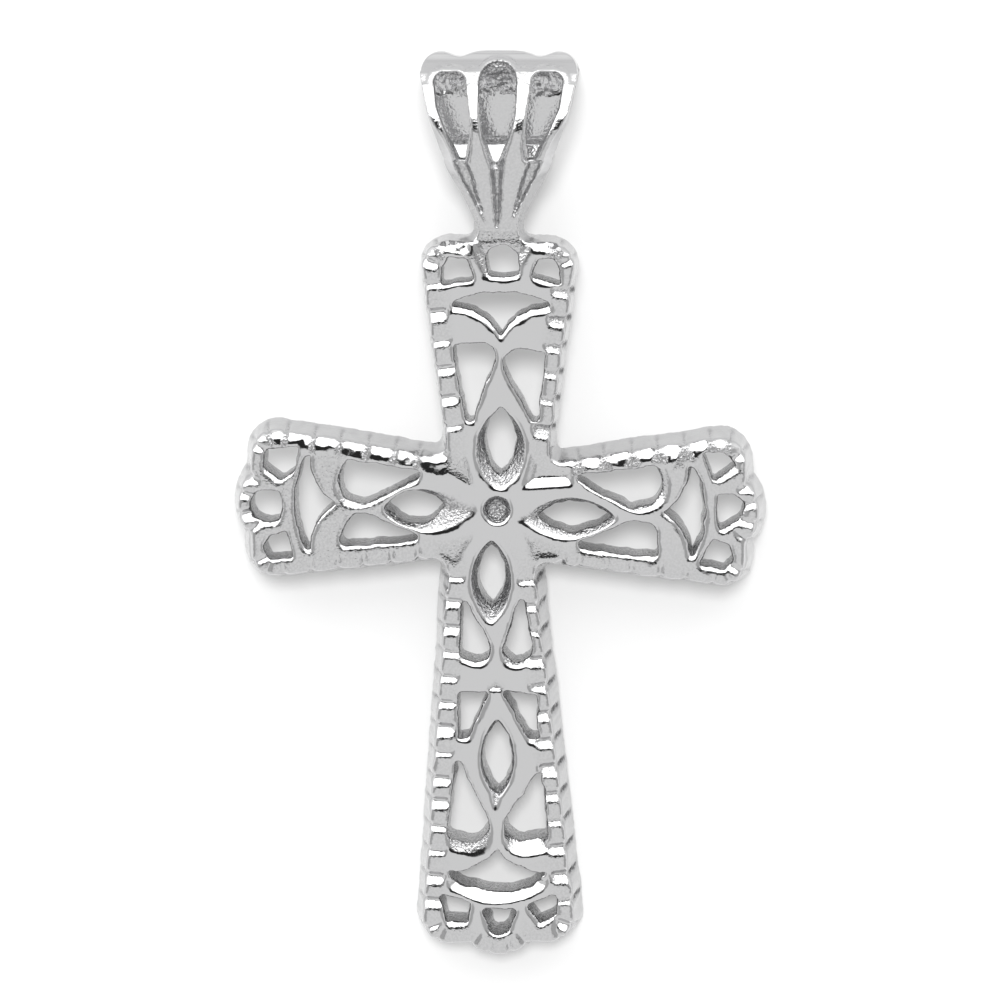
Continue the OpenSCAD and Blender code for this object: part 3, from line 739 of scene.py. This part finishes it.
def skin_maps(relief, hollow, points, normals):
    """How grainy the skin is and where shade is painted on it: bright in front, rough on hole walls, painted
    shade on the side walls and more of it in the file cuts.
    """
    i, j, k = (nearest_cell(points[:, a], a) for a in range(3))
    y, z = points[:, 1], points[:, 2]
    facing = normals[:, 2]
    side = 1 - ramp(facing, 0.3, 0.7)
    in_hole = relief.edge[i, j] < -relief.hole[i, j]
    grain = np.maximum(np.where(in_hole, 1.0, 0.1) * side, relief.grain[i, j] * ramp(facing, 0, 0.3))
    # Bail: grainy flanks and inner skin, a plain back wall and a grainy strip at its foot, darkened with
    # painted shade
    inside_loop = ramp(-hollow[np.maximum(j - BAIL_START, 0), k], -0.15, -0.05) * (y > 11.5)
    back_wall = ramp(1.2 - z, 0, 0.3) * ramp(y, 11.2, 11.5) * ramp(facing, 0.4, 0.7) * ramp(14.8 - y, 0, 0.2)
    flank = 0.5 * side * ramp(y, 9.3, 9.6) * ramp(13.2 - y, 0, 0.6)
    inner_skin = (0.6 + 0.4 * ramp(y, 14.0, 14.3)) * inside_loop * (1 - ramp(facing, 0.7, 0.95))
    # Grainy strip along the crease at the foot of the hollow's floor, darker with painted shade
    foot = back_wall * ramp(y, 12.38, 12.42) * ramp(12.6 - y, 0, 0.04)
    grain = np.maximum(np.maximum(grain, flank), inner_skin) * (1 - back_wall)
    grain = np.maximum(np.maximum(grain, foot), 0.06 * back_wall)
    # Side walls: painted shade makes them darker than the front, darker still in the deep file cuts
    file_cut = relief.file_cut[i, j]
    # Painted shade in the deep file cuts
    groove_shade = ramp(file_cut, 1.0, 1.5) * ramp(z, 0.3, 0.5) * ramp(1.65 - z, 0, 0.2)
    # Painted shade: side walls darker than the front, hole walls only slightly
    side_shade = np.where(in_hole, 0.05, 0.68 + 0.2 * np.minimum(file_cut, 1) + 0.55 * groove_shade)
    painted_shade = np.maximum(side_shade * side * (1 - inside_loop), foot)
    return grain, painted_shade


def polished_metal():
    """White metal: mirror-like where it was polished, with fine cast grain in the recesses, and darker where
    shade is painted on.
    """
    material = bpy.data.materials.new("polished_white_metal")
    material.use_nodes = True
    nodes, links = material.node_tree.nodes, material.node_tree.links
    shader = nodes["Principled BSDF"]
    shader.inputs["Metallic"].default_value = 1
    place = nodes.new("ShaderNodeTexCoord")

    def attribute(name):
        node = nodes.new("ShaderNodeAttribute")
        node.attribute_name = name
        return node.outputs["Fac"]

    def noise(scale, detail):
        node = nodes.new("ShaderNodeTexNoise")
        node.inputs["Scale"].default_value = scale
        node.inputs["Detail"].default_value = detail
        links.new(place.outputs["Object"], node.inputs["Vector"])
        return node.outputs["Fac"]

    def mapped(value, low, high, at_low, at_high):
        node = nodes.new("ShaderNodeMapRange")
        for name, number in (("From Min", low), ("From Max", high), ("To Min", at_low), ("To Max", at_high)):
            node.inputs[name].default_value = number
        links.new(value, node.inputs["Value"])
        return node.outputs["Result"]

    def maths(operation, a, b):
        node = nodes.new("ShaderNodeMath")
        node.operation = operation
        links.new(a, node.inputs[0])
        links.new(b, node.inputs[1])
        return node.outputs["Value"]

    def bump(height, depth):
        node = nodes.new("ShaderNodeBump")
        node.inputs["Distance"].default_value = depth * MM
        links.new(height, node.inputs["Height"])
        return node

    grain, painted_shade = attribute("grain"), attribute("painted_shade")
    specks = mapped(noise(13000, 2), 0.62, 0.4, 0, 1)
    tone = nodes.new("ShaderNodeMix")
    tone.data_type = "RGBA"
    tone.clamp_factor = False
    tone.inputs["A"].default_value = BRIGHT
    tone.inputs["B"].default_value = SHADE_AND_SPECK
    # Grain specks and painted shade both darken the base colour here
    links.new(maths("MAXIMUM", maths("MULTIPLY", specks, grain), painted_shade), tone.inputs["Factor"])
    links.new(tone.outputs["Result"], shader.inputs["Base Color"])
    # The painted shade in the file cuts also dims what the metal reflects at a glancing angle
    links.new(mapped(painted_shade, 1, 1.5, 1, 0.5), shader.inputs["Specular Tint"])
    links.new(mapped(grain, 0, 1, BRIGHT_ROUGH, GRAINY_ROUGH), shader.inputs["Roughness"])
    swell = bump(noise(900, 1), 0.05)
    swell.inputs["Strength"].default_value = 0.22
    sand = bump(noise(11000, 2), 0.12)
    links.new(mapped(grain, 0, 1, 0.01, 0.8), sand.inputs["Strength"])
    links.new(swell.outputs["Normal"], sand.inputs["Normal"])
    links.new(sand.outputs["Normal"], shader.inputs["Normal"])
    return material


def pale_floor():
    """Pale card that the pendant lies on. It glows a little, as an overexposed ground does."""
    mesh = bpy.data.meshes.new("floor")
    half = 0.6
    corners = [(-half, -half, 0), (half, -half, 0), (half, half, 0), (-half, half, 0)]
    mesh.from_pydata(corners, [], [(0, 1, 2, 3)])
    floor = bpy.data.objects.new("floor", mesh)
    bpy.context.collection.objects.link(floor)
    material = bpy.data.materials.new("white_card")
    material.use_nodes = True
    shader = material.node_tree.nodes["Principled BSDF"]
    shader.inputs["Base Color"].default_value = (0.42, 0.42, 0.42, 1)
    shader.inputs["Emission Color"].default_value = (1, 1, 1, 1)
    shader.inputs["Emission Strength"].default_value = 0.3
    shader.inputs["Roughness"].default_value = 0.9
    shader.inputs["Specular IOR Level"].default_value = 0.1
    mesh.materials.append(material)


def studio_camera():
    """Camera of the photograph, nearly above the cross and a little to its top and right."""
    sensor = 36
    data = bpy.data.cameras.new("camera")
    data.sensor_width = sensor
    data.lens = sensor * VIEW_DISTANCE / (FRAME_PIXELS / PIXELS_PER_MM)
    data.clip_start, data.clip_end = 0.01, 10
    camera = bpy.data.objects.new("camera", data)
    bpy.context.collection.objects.link(camera)
    tilt, turn_right = math.radians(VIEW_TILT), math.radians(VIEW_TURN)
    back = Vector((math.sin(turn_right), math.sin(tilt), math.cos(tilt)))
    back.normalize()
    aim = Vector(VIEW_AIM)
    right = Vector((0, 1, 0)).cross(back).normalized()
    turn = Matrix((right, back.cross(right), back)).transposed()
    turned = LAID_DOWN.to_3x3() @ turn
    place = (LAID_DOWN @ (aim + back * VIEW_DISTANCE)) * MM
    camera.matrix_world = Matrix.Translation(place) @ turned.to_4x4()
    bpy.context.scene.camera = camera


def card_light():
    """Soft lamp from the picture's top that lights the card alone, for the shadow in the openings."""
    data = bpy.data.lights.new("card_light", "SUN")
    data.energy, data.angle = CARD_LIGHT, math.radians(14)
    lamp = bpy.data.objects.new("card_light", data)
    lamp.rotation_euler = (math.radians(-11.5), 0, 0)
    lamp.visible_glossy = False
    bpy.context.collection.objects.link(lamp)


def studio_light():
    """Soft light tent: a large bright panel towards the picture's top and a dark gap beside the camera."""
    world = bpy.data.worlds.new("studio")
    bpy.context.scene.world = world
    world.use_nodes = True
    nodes, links = world.node_tree.nodes, world.node_tree.links
    nodes.clear()
    place = nodes.new("ShaderNodeTexCoord")
    parts = nodes.new("ShaderNodeSeparateXYZ")
    links.new(place.outputs["Generated"], parts.inputs["Vector"])

    def maths(operation, *values):
        node = nodes.new("ShaderNodeMath")
        node.operation = operation
        for k, value in enumerate(values):
            if isinstance(value, (int, float)):
                node.inputs[k].default_value = value
            else:
                links.new(value, node.inputs[k])
        return node.outputs["Value"]

    def band(value, start, full, end, gone):
        """1 between full and end, falling to 0 at start and gone."""
        rise, fall = nodes.new("ShaderNodeMapRange"), nodes.new("ShaderNodeMapRange")
        for node, low, high in ((rise, start, full), (fall, gone, end)):
            node.interpolation_type = "SMOOTHSTEP"
            node.inputs["From Min"].default_value = low
            node.inputs["From Max"].default_value = high
            links.new(value, node.inputs["Value"])
        return maths("MULTIPLY", rise.outputs["Result"], fall.outputs["Result"])

    degrees = 180 / math.pi
    side_dimming, gap_darkness = 0.42, 0.97
    tall = maths("MULTIPLY", maths("ARCTAN2", parts.outputs["Y"], parts.outputs["Z"]), degrees)
    azimuth = maths("MULTIPLY", maths("ARCTAN2", parts.outputs["Y"], parts.outputs["X"]), degrees)
    panel = maths("MULTIPLY", band(tall, 20, 24, 84, 92), band(azimuth, 34, 50, 150, 168))
    # Ring round the direction in which the flat front mirrors the camera
    mirror_y, mirror_z = -0.165, 0.986
    nearness = maths("ADD", maths("MULTIPLY", parts.outputs["Y"], mirror_y),
                     maths("MULTIPLY", parts.outputs["Z"], mirror_z))
    ring = band(maths("MULTIPLY", maths("ARCCOSINE", nearness), degrees), 10.5, 13.5, 28, 33)
    gap = maths("MULTIPLY", ring, band(azimuth, -5, 30, 150, 185))
    beside = maths("MULTIPLY", band(maths("ABSOLUTE", parts.outputs["X"]), 0.2, 0.4, 0.8, 0.96),
                   band(parts.outputs["Y"], -0.5, -0.3, 0.3, 0.5))
    level = maths("MULTIPLY", BASE_LIGHT, maths("SUBTRACT", 1, maths("MULTIPLY", beside, side_dimming)))
    level = maths("ADD", level, maths("MULTIPLY", panel, PANEL_LIGHT))
    level = maths("MULTIPLY", level, maths("SUBTRACT", 1, maths("MULTIPLY", gap, gap_darkness)))
    background = nodes.new("ShaderNodeBackground")
    background.inputs["Color"].default_value = (1, 1, 1, 1)
    links.new(level, background.inputs["Strength"])
    plain = nodes.new("ShaderNodeBackground")
    plain.inputs["Color"].default_value = (1, 1, 1, 1)
    path = nodes.new("ShaderNodeLightPath")
    choose = nodes.new("ShaderNodeMixShader")
    links.new(path.outputs["Is Camera Ray"], choose.inputs["Fac"])
    links.new(background.outputs["Background"], choose.inputs[1])
    links.new(plain.outputs["Background"], choose.inputs[2])
    out = nodes.new("ShaderNodeOutputWorld")
    links.new(choose.outputs["Shader"], out.inputs["Surface"])


def cross_relief():
    """The flat fields of the whole cross, from its openings to its notches."""
    relief = Relief()
    top_arm_openings(relief)
    left_arm_openings(relief)
    right_arm_openings(relief)
    long_arm_openings(relief)
    cast_unevenness(relief)
    rim(relief)
    valleys(relief)
    pit(relief)
    plateau(relief)
    notches(relief)
    chevron = [(0, 5.86), (-0.6, 6.5), (0, 6.36), (0.6, 6.5)]
    polygon_recess(relief, LONG_PATTERN, chevron, 0.1, 0.2, 0.4)
    relief.depth = soften(relief.depth, 0.05)
    return relief


def add_bail(relief, field):
    """Joins the bail to the cross's distance field and its grain to the relief's. Returns its hollow."""
    bail, grain, hollow = bail_field()
    above = (slice(None), slice(BAIL_START, None))
    fillet = 0.1 + 0.28 * (1 - ramp(ZS, 1.2, 1.9))[None, None, :]
    field[above] = round_union(field[above], bail, fillet)
    field[above] = np.maximum(field[above], -relief.hole[above][:, :, None] - 0.02)
    relief.grain[above] = np.maximum(relief.grain[above], grain)
    return hollow


def polished_cross():
    """The whole pendant as one piece, with its skin painted on the vertices."""
    relief = cross_relief()
    field = body_field(relief)
    hollow = add_bail(relief, field)
    busy = low_relief(relief)
    pendant = mesh_from_field(field, "polished_cross", lambda points: fine_detail(relief, busy, points))
    points = np.empty(3 * len(pendant.data.vertices))
    pendant.data.vertices.foreach_get("co", points)
    points = points.reshape(-1, 3)
    grain, painted_shade = skin_maps(relief, hollow, points, smooth_normals(field, points))
    for name, values in (("grain", grain), ("painted_shade", painted_shade)):
        skin = pendant.data.attributes.new(name, "FLOAT", "POINT")
        skin.data.foreach_set("value", values.astype(np.float32))
    pendant.data.transform(Matrix.Scale(MM, 4) @ LAID_DOWN)
    pendant.data.materials.append(polished_metal())
    return pendant


pendant = polished_cross()
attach(pendant, "root")
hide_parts("cross_pendant")
pale_floor()
studio_camera()
studio_light()
card_light()
bpy.context.scene.view_settings.view_transform = "Standard"
